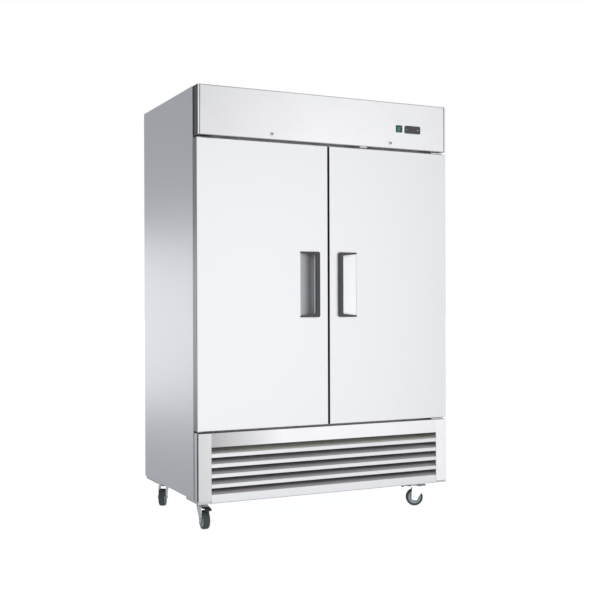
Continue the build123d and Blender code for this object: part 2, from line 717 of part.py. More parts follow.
def fasteners():
    """Caster plate bolts and hinge bracket screws."""
    parts = []
    for x, y, turn in CASTERS.values():
        for dx in (-38, 38):
            for dy in (-32, 32):
                parts.append(rod_z(x + dx, y + dy, PLATE_LOW - 5, PLATE_LOW, 6))
    for side in (-1, 1):
        for dx in (33, 62):
            x = side * (HALF_W - dx)
            parts.append(screw_head(x, FACE - 4, 1886, 5))
            parts.append(screw_head(x, FACE - 4, 445, 5))
    return group(parts)


def write_cabinet():
    save("side_panel_left", side_panel(-1))
    save("side_panel_right", side_panel(1))
    save("top_panel", top_panel())
    save("back_panel", back_panel())
    save("inner_liner", inner_liner())
    save("foam_insulation", foam_insulation())
    save("center_mullion", center_mullion())
    save("shelf_standards", shelf_standards())
    save("wire_shelves", group([wire_shelf(side, z) for side in (-1, 1) for z in SHELF_LEVELS]))
    save("hinge_brackets", group([hinge_bracket(side, up) for side in (-1, 1) for up in (False, True)]))
    save("hinge_bushes", group([hinge_bush(side, up) for side in (-1, 1) for up in (False, True)]))
    save("fasteners", fasteners())


def write_header():
    save("header_housing", header_housing())
    save("header_fascia", header_fascia())
    save("control_bezels", control_bezels())
    save("controller_window", controller_window())
    save("switch_rocker", switch_rocker())
    save("lock_barrels", group([lock_barrel(x) for x in LOCKS.values()]))
    for name, x in LOCKS.items():
        save(f"lock_plug_{name}", lock_plug(x))
    for name, dx in KEYS.items():
        save(f"key_{name}", key(dx))


def write_doors():
    for name, side in (("left", -1), ("right", 1)):
        save(f"door_{name}_outer_skin", outer_skin(side))
        save(f"door_{name}_foam_core", foam_core(side))
        save(f"door_{name}_inner_panel", inner_panel(side))
        save(f"door_{name}_gasket", gasket(side))
        save(f"door_{name}_handle_pan", handle_pan(side))
        save(f"door_{name}_handle_trim", handle_trim(side))


def write_base():
    save("base_frame", base_frame())
    save("grille_frame", grille_frame())
    save("louvre_grille", louvre_grille())
    save("caster_plates", group([caster_plate(x, y) for x, y, turn in CASTERS.values()]))
    for name in CASTERS:
        save(f"caster_{name}_fork", at_caster(name, fork_shape()))
        save(f"caster_{name}_wheel", group([at_caster(name, part) for part in wheel_shape()]))
    for name in ("front_left", "front_right"):
        save(f"brake_lever_{name}", at_caster(name, brake_shape()))


def write_machine():
    save("evaporator_cover", evaporator_cover())
    save("evaporator_coil", coil(-230, 230, 40, 160, OPEN_HIGH + 40, CAVITY_TOP - 30, 5))
    save("evaporator_fan", Pos(0, EVAP_FAN_Y, FAN_Z) * fan_shape(85, 5, 22, 26))
    save("condenser_coil", coil(COND_X - 190, COND_X + 190, -300, -240, TRAY_HIGH + 20, 420, 8))
    save("condenser_fan", Pos(COND_X, COND_FAN_Y, COND_Z) * fan_shape(118, 5, 28, 26))
    motors = [fan_motor(0, EVAP_FAN_Y, FAN_Z, 100), fan_motor(COND_X, COND_FAN_Y, COND_Z, 130)]
    save("fan_motors", group(motors))
    save("compressor", compressor())
    save("refrigerant_pipes", refrigerant_pipes())
    save("condensate_pan", condensate_pan())
    save("electrical_box", electrical_box())
    save("interior_lamp", interior_lamp())


write_cabinet()
write_header()
write_doors()
write_base()
write_machine()
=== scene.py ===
import json
import math

import bmesh
import bpy
from bpy.props import FloatProperty, FloatVectorProperty, IntProperty, PointerProperty
from mathutils import Matrix, Vector


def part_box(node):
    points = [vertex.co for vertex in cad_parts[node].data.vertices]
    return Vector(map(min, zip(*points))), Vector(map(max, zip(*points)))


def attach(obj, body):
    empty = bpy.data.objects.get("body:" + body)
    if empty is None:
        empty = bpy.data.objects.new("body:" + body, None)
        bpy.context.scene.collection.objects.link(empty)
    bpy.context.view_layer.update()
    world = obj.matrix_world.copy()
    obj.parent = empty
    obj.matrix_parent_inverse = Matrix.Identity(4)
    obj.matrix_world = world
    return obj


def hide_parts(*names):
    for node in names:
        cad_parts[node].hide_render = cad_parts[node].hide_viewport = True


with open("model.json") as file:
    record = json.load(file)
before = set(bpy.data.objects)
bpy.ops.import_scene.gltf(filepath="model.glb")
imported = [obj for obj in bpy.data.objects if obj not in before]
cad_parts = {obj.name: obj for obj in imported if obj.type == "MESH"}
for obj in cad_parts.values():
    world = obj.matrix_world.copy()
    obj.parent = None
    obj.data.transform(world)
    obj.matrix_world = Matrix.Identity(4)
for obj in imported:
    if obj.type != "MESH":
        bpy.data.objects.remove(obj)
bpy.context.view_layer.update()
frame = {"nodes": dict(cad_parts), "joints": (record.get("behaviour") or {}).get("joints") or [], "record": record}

bl_info = {
    "name": "Reach-in refrigerator",
    "version": (1, 0, 0),
    "blender": (4, 5, 0),
    "location": "3D View > Sidebar > Refrigerator",
    "description": "Finishes a two-door reach-in refrigerator round its packed frame",
    "category": "Object",
}

MM = 0.001
SIDES = ("left", "right")
CASTERS = ("front_left", "front_right", "rear_left", "rear_right")
BRAKED = CASTERS[:2]
WHEEL_RADIUS = 45  # in millimetres, like the points of every outline before MM scales them
EVEN = (1.0, 1.0, 1.0)


# Shader maths


class Value:
    """A shader socket that Python's operators work on."""

    def __init__(self, net, socket):
        self.net = net
        self.socket = socket

    def maths(self, operation, first, second):
        made = self.net.node("ShaderNodeMath", {"operation": operation}, {0: first, 1: second})
        return made.out()

    def __add__(self, other):
        return self.maths("ADD", self, other)

    def __radd__(self, other):
        return self.maths("ADD", other, self)

    def __sub__(self, other):
        return self.maths("SUBTRACT", self, other)

    def __rsub__(self, other):
        return self.maths("SUBTRACT", other, self)

    def __mul__(self, other):
        return self.maths("MULTIPLY", self, other)

    def __rmul__(self, other):
        return self.maths("MULTIPLY", other, self)

    def clamped(self):
        """Kept between 0 and 1."""
        return self.maths("MINIMUM", self.maths("MAXIMUM", self, 0.0), 1.0)


class Made:
    """A node that the net has made."""

    def __init__(self, net, node):
        self.net = net
        self.node = node

    def out(self, name=0):
        return Value(self.net, self.node.outputs[name])


class Net:
    """A material's nodes, ending in one Principled shader."""

    def __init__(self, name):
        self.material = bpy.data.materials.new(name)
        self.material.use_nodes = True
        self.tree = self.material.node_tree
        self.tree.nodes.clear()
        self.end = self.node("ShaderNodeOutputMaterial", {}, {})
        self.shader = self.node("ShaderNodeBsdfPrincipled", {}, {})
        self.tree.links.new(self.shader.node.outputs[0], self.end.node.inputs["Surface"])
        self.place = self.node("ShaderNodeTexCoord", {}, {}).out("Object")

    def node(self, kind, settings, values):
        """Makes a node: its settings, a ramp's stops among them, then its sockets' values or links."""
        made = self.tree.nodes.new(kind)
        for key, value in settings.items():
            if key == "stops":
                for element, (position, shade) in zip(made.color_ramp.elements, value):
                    element.position = position
                    element.color = (shade, shade, shade, 1.0)
            else:
                setattr(made, key, value)
        self.fill(made, values)
        return Made(self, made)

    def fill(self, made, values):
        for key, value in values.items():
            if isinstance(value, Value):
                self.tree.links.new(value.socket, made.inputs[key])
            else:
                made.inputs[key].default_value = value

    def surface(self, values):
        self.fill(self.shader.node, values)
        return self.material

    def noise(self, scale, stretch, detail=2.0, roughness=0.5, offset=(0.0, 0.0, 0.0)):
        """Noise from 0 to 1 at so many cells a metre, with each axis scaled by stretch."""
        size = tuple(scale * s for s in stretch)
        mapped = self.node("ShaderNodeMapping", {}, {"Vector": self.place, "Scale": size, "Location": offset})
        values = {"Vector": mapped.out(), "Scale": 1.0, "Detail": detail, "Roughness": roughness}
        return self.node("ShaderNodeTexNoise", {}, values).out(0)

    def ramp(self, value, low, high, dark=0.0, light=1.0):
        made = self.node("ShaderNodeValToRGB", {"stops": ((low, dark), (high, light))}, {0: value})
        return made.out(0)

    def blend(self, share, first, second):
        """A colour between first and second."""
        values = {0: share, 6: first, 7: second}
        return self.node("ShaderNodeMix", {"data_type": "RGBA"}, values).out(2)

    def bump(self, height, strength, distance):
        values = {"Height": height, "Strength": strength, "Distance": distance}
        return self.node("ShaderNodeBump", {}, values).out(0)

    def facing(self):
        """How much a surface looks up, from 0 to 1, for what settles on it."""
        normal = self.node("ShaderNodeNewGeometry", {}, {}).out("Normal")
        parts = self.node("ShaderNodeSeparateXYZ", {}, {0: normal})
        return parts.out("Z").clamped()


def shade(colour, factor):
    """A colour, lighter or darker, as a socket's four numbers."""
    return tuple(min(1.0, c * factor) for c in colour[:3]) + (1.0,)


# Materials


def brushed_steel(name, colour, rough, grain, contrast=0.05, painted_shade=None):
    """Brushed sheet: fine streaks along one axis, faint wide clouding and a trace of handling marks.

    The last argument, if given, is (x, x, factor): painted shade across X, a tone that far darker at the first
    place and gone at the second.
    """
    net = Net(name)
    stretch = tuple(0.012 if axis == grain else 1.0 for axis in "XYZ")
    fine = net.noise(1300.0, stretch, 3.0, 0.6)
    broad = net.noise(220.0, stretch, 2.0, 0.5, (3.1, 1.7, 0.4))
    cloud = net.noise(1.6, (1.0, 1.0, 0.7), 2.0, 0.5, (0.3, 8.1, 2.2))
    marks = net.ramp(net.noise(7.0, (1.0, 1.0, 1.4), 3.0, 0.6, (5.0, 0.2, 1.1)), 0.52, 0.72)
    streak = fine * 0.6 + broad * 0.4
    tone = ((streak - 0.5) * 0.9 + 0.5 + (cloud - 0.5) * 0.5).clamped()
    base = net.blend(tone, shade(colour, 1.0 - contrast), shade(colour, 1.0 + contrast))
    # Painted shade: the colour darkens towards one end along X, standing in for less light falling there.
    if painted_shade:
        start, end, factor = painted_shade
        across = net.node("ShaderNodeSeparateXYZ", {}, {0: net.place}).out("X")
        share = ((across - start) * (1.0 / (end - start))).clamped()
        painted_dark = net.blend(tone, shade(colour, factor * (1.0 - contrast)),
                         shade(colour, factor * (1.0 + contrast)))
        base = net.blend(share, painted_dark, base)
    roughness = (rough - 0.06) + streak * 0.12 + (cloud - 0.5) * 0.05 + marks * 0.03
    return net.surface({"Base Color": base, "Metallic": 1.0, "Roughness": roughness,
                        "Normal": net.bump(streak, 0.10, 0.0002)})


def galvanised_steel(name, colour, rough):
    """Zinc-coated sheet with its spangle."""
    net = Net(name)
    mapped = net.node("ShaderNodeMapping", {}, {"Vector": net.place, "Scale": (60.0, 60.0, 60.0)})
    cells = net.node("ShaderNodeTexVoronoi", {"feature": "F1"}, {"Vector": mapped.out(), "Scale": 1.0})
    grey = net.node("ShaderNodeRGBToBW", {}, {0: cells.out("Color")}).out()
    cloud = net.noise(4.0, EVEN, 3.0)
    base = net.blend((grey * 0.7 + cloud * 0.3).clamped(), shade(colour, 0.88), shade(colour, 1.08))
    return net.surface({"Base Color": base, "Metallic": 1.0, "Roughness": rough + grey * 0.12 + cloud * 0.08})


def plated_steel(name, colour, rough):
    """Bright zinc or nickel plating with faint cloudiness and dulled patches."""
    net = Net(name)
    cloud = net.noise(45.0, EVEN, 4.0, 0.6)
    fine = net.noise(600.0, EVEN, 2.0)
    base = net.blend(cloud, shade(colour, 0.9), shade(colour, 1.08))
    return net.surface({"Base Color": base, "Metallic": 1.0, "Roughness": rough + cloud * 0.12,
                        "Normal": net.bump(fine, 0.06, 0.0002)})


def moulded_plastic(name, colour, rough, texture=900.0, relief=0.12, coat=0.0):
    """Moulded plastic with a fine grain, worn a little smoother in patches."""
    net = Net(name)
    grain = net.noise(texture, EVEN, 2.0)
    cloud = net.noise(9.0, EVEN, 3.0)
    wear = net.ramp(net.noise(26.0, EVEN, 3.0, 0.6), 0.5, 0.75)
    base = net.blend((cloud * 0.7 + grain * 0.3).clamped(), shade(colour, 0.85), shade(colour, 1.15))
    return net.surface({"Base Color": base, "Roughness": rough + grain * 0.08 - wear * 0.06,
                        "Coat Weight": coat, "Normal": net.bump(grain, relief, 0.0003)})


def rubber(name, colour, rough=0.6):
    """Rubber with a matte bloom and light scuffs."""
    net = Net(name)
    grain = net.noise(1400.0, EVEN, 2.0)
    bloom = net.noise(22.0, EVEN, 4.0, 0.65)
    scuffs = net.ramp(net.noise(90.0, (1.0, 1.0, 0.25), 3.0), 0.58, 0.75)
    tone = (bloom * 0.6 + scuffs * 0.4).clamped()
    base = net.blend(tone, shade(colour, 0.85), shade(colour, 1.6))
    return net.surface({"Base Color": base, "Roughness": rough + bloom * 0.15,
                        "Normal": net.bump(grain, 0.2, 0.0003)})


def painted_shell(name, colour, rough):
    """Sprayed enamel with orange peel and dust where it looks up."""
    net = Net(name)
    peel = net.noise(350.0, EVEN, 2.0)
    cloud = net.noise(12.0, EVEN, 4.0, 0.6)
    dust = (net.facing() * cloud * 0.5).clamped()
    base = net.blend(dust, shade(colour, 1.0), (0.28, 0.27, 0.25, 1.0))
    return net.surface({"Base Color": base, "Roughness": rough + dust * 0.4 + cloud * 0.06,
                        "Normal": net.bump(peel, 0.12, 0.0004)})


def copper_tube(name, colour):
    """Drawn copper with brown tarnish."""
    net = Net(name)
    tarnish = net.noise(30.0, EVEN, 4.0, 0.65)
    base = net.blend(net.ramp(tarnish, 0.35, 0.75), shade(colour, 1.0), (0.25, 0.13, 0.08, 1.0))
    return net.surface({"Base Color": base, "Metallic": 1.0, "Roughness": 0.25 + tarnish * 0.25})


def smoked_window(name, colour):
    """Dark gloss window with a slightly lighter band across its lower half."""
    net = Net(name)
    low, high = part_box("controller_window")
    height = net.node("ShaderNodeSeparateXYZ", {}, {0: net.place}).out("Z")
    share = (height - low.z) * (1.0 / (high.z - low.z))
    band = net.ramp(share, 0.46, 0.54, 1.0, 0.0)
    dust = net.noise(180.0, EVEN, 3.0)
    base = net.blend((band * 0.85 + dust * 0.15).clamped(), shade(colour, 1.0), (0.055, 0.068, 0.082, 1.0))
    return net.surface({"Base Color": base, "Roughness": 0.12 + dust * 0.08, "Coat Weight": 0.4})


def foam_body(name, colour):
    """Cut rigid foam with open cells."""
    net = Net(name)
    cells = net.noise(700.0, EVEN, 3.0, 0.7)
    cloud = net.noise(14.0, EVEN, 3.0)
    base = net.blend(cloud, shade(colour, 0.88), shade(colour, 1.08))
    return net.surface({"Base Color": base, "Roughness": 0.75 + cells * 0.2,
                        "Normal": net.bump(cells, 0.5, 0.0008)})


def lamp_lens(name, colour):
    """Milky lamp cover with fine ribs."""
    net = Net(name)
    ribs = net.noise(260.0, (1.0, 0.02, 0.02), 1.0)
    cloud = net.noise(30.0, EVEN, 2.0)
    base = net.blend(cloud, shade(colour, 0.94), shade(colour, 1.04))
    return net.surface({"Base Color": base, "Roughness": 0.28 + ribs * 0.15,
                        "Emission Color": (1.0, 0.98, 0.94, 1.0), "Emission Strength": 0.25,
                        "Normal": net.bump(ribs, 0.25, 0.0005)})


def finishes():
    """Makes the finish of every material slot, and of the faces that differ from their slot; several of these
    carry painted light, painted shade and painted reflection.
    """
    look = bpy.context.scene.fridge_finish
    polish = look.front_rough
    rows = (
        (brushed_steel, "cabinet_steel", look.cabinet, look.cabinet_rough, "Z", 0.03),
        (galvanised_steel, "galvanised_steel", look.galvanised, 0.34),
        (brushed_steel, "liner_steel", (0.72, 0.73, 0.74), 0.3, "X", 0.04),
        (foam_body, "foam", (0.86, 0.76, 0.5)),
        (brushed_steel, "front_steel", look.front, polish, "Z", 0.02),
        # Painted light and shade: header, stiles and blank panel are lighter and darker copies of the front steel,
        # each painted darker towards its left end.
        (brushed_steel, "header_steel", shade(look.front, 0.99), polish, "X", 0.02, (-0.69, -0.1, 0.84)),
        (brushed_steel, "cover_steel", shade(look.front, 1.06), polish, "Z", 0.02, (-0.66, -0.3, 0.7)),
        (brushed_steel, "blank_steel", look.front, polish, "X", 0.02, (-0.62, -0.25, 0.5)),
        # Painted reflection: a dark copy of the front steel for the doors' upright edges.
        (brushed_steel, "edge_steel", look.edge, 0.4, "Z", 0.04),
        # Real dark end caps on the header, and painted shade on the cover's seam and the left hinge plates.
        (brushed_steel, "end_cap", look.cap, 0.42, "Z", 0.05),
        # Painted shade and painted reflection for the sloping backs of the louvre blades.
        (brushed_steel, "louvre_inside", look.slope, 0.42, "X", 0.04),
        (brushed_steel, "louvre_top", look.first, 0.42, "X", 0.04),
        (brushed_steel, "louvre_steel", look.louvre, polish, "Z", 0.02),
        # Painted shade and light: one steel for the pull pans, the right one painted lighter.
        (brushed_steel, "handle_steel", look.pull, 0.2, "Z", 0.05),
        (brushed_steel, "handle_bright", (0.98, 0.98, 0.98), 0.34, "Z", 0.02),
        (moulded_plastic, "black_plastic", look.trim, 0.3, 1200.0, 0.06, 0.15),
        (smoked_window, "smoked_window", (0.012, 0.014, 0.018)),
        (rubber, "key_rubber", (0.16, 0.18, 0.2), 0.45),
        (moulded_plastic, "rocker_green", look.rocker, 0.22, 1500.0, 0.03, 0.4),
        (plated_steel, "lock_chrome", (0.34, 0.34, 0.36), 0.2),
        (plated_steel, "lock_face", (0.3, 0.3, 0.32), 0.3),
        (plated_steel, "hinge_steel", (0.88, 0.88, 0.88), 0.22),
        (moulded_plastic, "nylon", (0.8, 0.79, 0.74), 0.4),
        (moulded_plastic, "door_lining", (0.82, 0.83, 0.84), 0.3, 500.0, 0.05),
        (rubber, "gasket_rubber", (0.12, 0.12, 0.125), 0.5),
        (painted_shell, "shelf_wire", (0.8, 0.81, 0.82), 0.25),
        (brushed_steel, "standard_steel", (0.66, 0.67, 0.68), 0.3, "Z"),
        (brushed_steel, "coil_aluminium", (0.72, 0.73, 0.75), 0.36, "Y"),
        (painted_shell, "motor_black", (0.03, 0.03, 0.034), 0.3),
        (moulded_plastic, "fan_plastic", (0.06, 0.06, 0.065), 0.42),
        (lamp_lens, "lamp_lens", (0.9, 0.9, 0.88)),
        (copper_tube, "copper", (0.8, 0.42, 0.26)),
        (moulded_plastic, "pan_plastic", (0.2, 0.205, 0.21), 0.45),
        (plated_steel, "caster_zinc", look.zinc, 0.24),
        (rubber, "wheel_rubber", (0.03, 0.034, 0.036), 0.5),
        (moulded_plastic, "wheel_hub", look.hub, 0.34, 700.0, 0.08),
        (moulded_plastic, "pedal_black", (0.035, 0.045, 0.045), 0.38),
        (moulded_plastic, "display_dim", (0.08, 0.03, 0.03), 0.3),
    )
    for make, *settings in rows:
        make(*settings)


def finish_of(name):
    return bpy.data.materials[name]


# Modelling


def edges_of(verts):
    """The edges that meet at any of the vertices, each once."""
    return list(dict.fromkeys(e for v in verts for e in v.link_edges))


def add_box(bm, low, high):
    """A box between two corners; returns its vertices."""
    low, high = Vector(low), Vector(high)
    verts = bmesh.ops.create_cube(bm, size=1.0)["verts"]
    bmesh.ops.scale(bm, vec=high - low, verts=verts)
    bmesh.ops.translate(bm, vec=(low + high) / 2, verts=verts)
    return verts


def round_edges(bm, edges, width, segments=3):
    if edges:
        bmesh.ops.bevel(bm, geom=edges, offset=width, offset_type="OFFSET", affect="EDGES",
                        segments=segments, profile=0.5, material=-1, clamp_overlap=True)


def add_tube(bm, start, end, radius, sides=16):
    """A closed cylinder from start to end; returns its vertices."""
    start, end = Vector(start), Vector(end)
    along = end - start
    place = Matrix.Translation((start + end) / 2) @ along.to_track_quat("Z", "Y").to_matrix().to_4x4()
    return bmesh.ops.create_cone(bm, cap_ends=True, segments=sides, radius1=radius, radius2=radius,
                                 depth=along.length, matrix=place)["verts"]


def add_turned(bm, outline, steps=64):
    """Spins an (r, z) outline about Z into a closed ring or disc."""
    verts = [bm.verts.new((r, 0.0, z)) for r, z in outline]
    edges = [bm.edges.new((a, b)) for a, b in zip(verts, verts[1:] + verts[:1])]
    bmesh.ops.spin(bm, geom=verts + edges, cent=(0, 0, 0), axis=(0, 0, 1), dvec=(0, 0, 0),
                   angle=math.tau, steps=steps, use_merge=True)
    bmesh.ops.remove_doubles(bm, verts=bm.verts[:], dist=1e-6)


def raised(bm, face, vec):
    """Extrudes a face by a vector, keeping the face as the other end of a closed block."""
    made = bmesh.ops.extrude_face_region(bm, geom=[face], use_keep_orig=True)
    bmesh.ops.translate(bm, vec=vec, verts=[g for g in made["geom"] if isinstance(g, bmesh.types.BMVert)])
    bmesh.ops.recalc_face_normals(bm, faces=bm.faces[:])


def add_plate(bm, outline, depth, radii=None, segments=6):
    """A flat (x, z) outline with rounded corners, thickened from y = 0 to y = depth."""
    verts = [bm.verts.new((x, 0.0, z)) for x, z in outline]
    face = bm.faces.new(verts)
    if radii:
        for vert, radius in zip(verts, radii):
            if radius:
                bmesh.ops.bevel(bm, geom=[vert], offset=radius, offset_type="OFFSET", affect="VERTICES",
                                segments=segments, profile=0.5, material=-1, clamp_overlap=True)
    bm.faces.ensure_lookup_table()
    face = bm.faces[-1] if not face.is_valid else face
    raised(bm, face, (0, depth, 0))


def add_frame(bm, low, high, profile):
    """A ring round a rectangle that faces Y: profile is the (inset, y) loop of its section."""
    loops = []
    for inset, y in profile:
        x0, x1, z0, z1 = low[0] + inset, high[0] - inset, low[1] + inset, high[1] - inset
        verts = [bm.verts.new(p) for p in ((x0, y, z0), (x1, y, z0), (x1, y, z1), (x0, y, z1))]
        loops.append([bm.edges.new((a, b)) for a, b in zip(verts, verts[1:] + verts[:1])])
    for first, second in zip(loops, loops[1:] + loops[:1]):
        bmesh.ops.bridge_loops(bm, edges=first + second)
    bmesh.ops.recalc_face_normals(bm, faces=bm.faces[:])


def eased(path, radius, steps=4):
    """An open path's points, with a curve in place of each inner corner."""
    points = [Vector(p) for p in path]
    made = [points[0]]
    for before, corner, after in zip(points, points[1:], points[2:]):
        start = corner + (before - corner).normalized() * radius
        end = corner + (after - corner).normalized() * radius
        for step in range(steps + 1):
            share = step / steps
            made.append(start.lerp(corner, share).lerp(corner.lerp(end, share), share))
    return made + [points[-1]]


def sharp_edges(bm, angle=30.0):
    """Edges where two faces meet at more than an angle, in degrees."""
    limit = math.radians(angle)
    return [e for e in bm.edges if len(e.link_faces) == 2 and e.calc_face_angle(0.0) > limit]


def flat_copy(node):
    """A CAD node's mesh, merged, with its flat faces made whole."""
    bm = bmesh.new()
    bm.from_mesh(frame["nodes"][node].data)
    bmesh.ops.remove_doubles(bm, verts=bm.verts[:], dist=2e-6)
    bmesh.ops.dissolve_limit(bm, angle_limit=math.radians(0.6), verts=bm.verts[:], edges=bm.edges[:])
    return bm


def seat(name, bm, materials, body, nodes=(), angle=35.0, weighted=True):
    """Turns a bmesh into a finished piece that rides on a body and stands for the CAD nodes."""
    mesh = bpy.data.meshes.new(name)
    bm.normal_update()
    bm.to_mesh(mesh)
    bm.free()
    for material in materials:
        mesh.materials.append(finish_of(material))
    mesh.shade_smooth()
    mesh.set_sharp_from_angle(angle=math.radians(angle))
    piece = bpy.data.objects.new(name, mesh)
    bpy.context.scene.collection.objects.link(piece)
    if weighted:
        piece.modifiers.new("weighted_normals", "WEIGHTED_NORMAL").keep_sharp = True
    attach(piece, body)
    if nodes:
        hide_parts(*nodes)
    return piece


def softened(name, node, materials, body, width, segments=2, pick=None, paint=None, cuts=()):
    """A CAD node's shape with its sharp edges rounded.

    paint gives a face's place among the materials, from its centre and normal, after cuts across X.
    """
    bm = flat_copy(node)
    edges = sharp_edges(bm)
    if pick:
        edges = [e for e in edges if pick(e)]
    round_edges(bm, edges, width, segments)
    for x in cuts:
        bmesh.ops.bisect_plane(bm, geom=bm.verts[:] + bm.edges[:] + bm.faces[:], plane_co=(x, 0, 0),
                               plane_no=(1, 0, 0))
    if paint:
        bm.normal_update()
        for face in bm.faces:
            face.material_index = paint(face.calc_center_median(), face.normal)
    return seat(name, bm, materials, body, (node,))


def dress(node, material):
    """Gives a carried-over CAD node its finish."""
    obj = frame["nodes"][node]
    obj.data.materials.clear()
    obj.data.materials.append(finish_of(material))


def in_plane(edge, axis, value, slack=5e-5):
    return all(abs(v.co[axis] - value) < slack for v in edge.verts)


# Settings


class FridgeFinish(bpy.types.PropertyGroup):
    """Colours and polish of the visible finishes."""

    cabinet: FloatVectorProperty(name="Cabinet", description="Side panels", subtype="COLOR",
                                 default=(0.62, 0.635, 0.65), min=0, max=1)
    cabinet_rough: FloatProperty(name="Cabinet polish", description="Roughness of the side panels",
                                 default=0.42, subtype="FACTOR", min=0, max=1)
    front: FloatVectorProperty(name="Front", description="Doors, header and stiles", subtype="COLOR",
                               default=(0.825, 0.82, 0.83), min=0, max=1)
    front_rough: FloatProperty(name="Front polish", description="Roughness of the doors", default=0.36,
                               subtype="FACTOR", min=0, max=1)
    galvanised: FloatVectorProperty(name="Galvanised", description="Roof, back and base rails",
                                    subtype="COLOR", default=(0.66, 0.68, 0.7), min=0, max=1)
    # Painted reflection: the doors' upright edges are the same steel as their fronts, given this dark colour for
    # the dark surroundings they reflect.
    edge: FloatVectorProperty(name="Door edge", description="Folded edges of the doors", subtype="COLOR",
                              default=(0.25, 0.25, 0.26), min=0, max=1)
    # Partly real, partly painted shade: the header's dark end caps have this colour, and the cover's recessed seam
    # and the left hinge plates take it as painted shade.
    cap: FloatVectorProperty(name="End cap", description="Ends of the header and the seams", subtype="COLOR",
                             default=(0.11, 0.11, 0.115), min=0, max=1)
    louvre: FloatVectorProperty(name="Louvre", description="Grille blades", subtype="COLOR",
                                default=(0.97, 0.965, 0.97), min=0, max=1)
    # Painted shade: the sloping backs of the blades take this darker colour for the shade under each lip.
    slope: FloatVectorProperty(name="Louvre inside", description="Sloping backs of the grille blades",
                               subtype="COLOR", default=(0.66, 0.64, 0.66), min=0, max=1)
    # Painted reflection: the top blade's slope takes this warm, lighter colour for the warm things it reflects.
    first: FloatVectorProperty(name="First louvre inside", description="Sloping back of the top blade",
                               subtype="COLOR", default=(1.0, 0.95, 0.88), min=0, max=1)
    # Painted shade and light: the left pan takes this colour and the right pan a lighter copy, though both are one
    # steel.
    pull: FloatVectorProperty(name="Pull pan", description="Ramp behind the pull", subtype="COLOR",
                              default=(0.8, 0.8, 0.82), min=0, max=1)
    trim: FloatVectorProperty(name="Pull trim", description="Black trim of the pull", subtype="COLOR",
                              default=(0.045, 0.043, 0.055), min=0, max=1)
    rocker: FloatVectorProperty(name="Rocker", description="Power rocker", subtype="COLOR",
                                default=(0.015, 0.235, 0.17), min=0, max=1)
    zinc: FloatVectorProperty(name="Zinc", description="Caster forks and plates", subtype="COLOR",
                              default=(0.88, 0.93, 0.94), min=0, max=1)
    hub: FloatVectorProperty(name="Hub", description="Caster hubs", subtype="COLOR",
                             default=(0.42, 0.5, 0.5), min=0, max=1)


class FridgeSizes(bpy.types.PropertyGroup):
    """Sizes of the details that finish the frame."""

    fold: FloatProperty(name="Fold", description="Outside radius of the doors' folded edges",
                        default=2.6 * MM, unit="LENGTH")
    sheet_edge: FloatProperty(name="Sheet edge", description="Rounding of the other folded sheets",
                              default=1.2 * MM, unit="LENGTH")
    wire: FloatProperty(name="Wire", description="Radius of the fine shelf wires",
                        default=1.5 * MM, unit="LENGTH")
    wires: IntProperty(name="Wires", description="Fine wires on each shelf", default=22)
    tread: IntProperty(name="Tread steps", description="Facets round each wheel", default=72)


# Pieces


class FRIDGE_OT_finishes(bpy.types.Operator):
    """Make every finish and give the carried-over CAD nodes theirs"""

    bl_idname = "fridge.finishes"
    bl_label = "Finishes"

    def execute(self, context):
        finishes()
        for row in frame["record"]["subparts"]:
            dress(row["node"], row["material_slot"])
        return {"FINISHED"}


class FRIDGE_OT_cabinet(bpy.types.Operator):
    """Outer panels of the cabinet, with eased folds"""

    bl_idname = "fridge.cabinet"
    bl_label = "Cabinet"

    def execute(self, context):
        edge = context.scene.fridge_sizes.sheet_edge
        for side in SIDES:
            node = f"side_panel_{side}"
            low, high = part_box(node)
            outer = low.x if side == "left" else high.x
            softened(f"cabinet_side_{side}", node, ["cabinet_steel"], "cabinet", edge, 3,
                     lambda e, outer=outer: in_plane(e, 0, outer))
        return {"FINISHED"}


class FRIDGE_OT_header(bpy.types.Operator):
    """Header housing and fascia, with the seal, stop and door switch that sit by them"""

    bl_idname = "fridge.header"
    bl_label = "Header"

    def execute(self, context):
        edge = context.scene.fridge_sizes.sheet_edge
        low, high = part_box("header_housing")
        face_low, face_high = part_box("header_fascia")

        def seam(e):
            return in_plane(e, 1, low.y) or in_plane(e, 0, low.x) or in_plane(e, 0, high.x)

        def end_face(at, normal):
            return int(abs(normal.x) > 0.9 and abs(at.x) > high.x - MM)

        def rim(e):
            beside = in_plane(e, 0, face_low.x) or in_plane(e, 0, face_high.x)
            across = in_plane(e, 2, face_low.z) or in_plane(e, 2, face_high.z)
            return in_plane(e, 1, face_low.y) and (beside or across)

        softened("header_shell", "header_housing", ["header_steel", "end_cap"], "cabinet",
                 0.7 * MM, 2, seam, end_face)
        softened("header_face", "header_fascia", ["header_steel"], "cabinet",
                 edge * 1.6, 4, rim)
        self.seal(low, high, face_high.x)
        self.switch(low)
        return {"FINISHED"}

    def seal(self, low, high, face):
        """Seal strips beside the fascia, and the round stop over the left door."""
        wide, proud, sunk = 2.6 * MM, 0.5 * MM, 0.2 * MM
        bm = bmesh.new()
        for way in (-1, 1):
            x = sorted((way * face, way * (face + wide)))
            add_box(bm, (x[0], low.y - proud, low.z), (x[1], low.y + sunk, high.z))
        across, back, tall, radius = -486 * MM, 8 * MM, 7 * MM, 5 * MM
        stop = Vector((across, low.y + back, low.z))
        add_tube(bm, stop, stop - Vector((0, 0, tall)), radius, 20)
        seat("header_seal", bm, ["gasket_rubber"], "cabinet")

    def switch(self, low):
        """Door switch over the right door."""
        left, right, tall = 178 * MM, 216 * MM, 6.5 * MM
        bm = bmesh.new()
        case = add_box(bm, (left, low.y + 3 * MM, low.z - tall), (right, low.y + 20 * MM, low.z))
        round_edges(bm, edges_of(case), 1.2 * MM, 3)
        seat("door_switch", bm, ["nylon"], "cabinet")


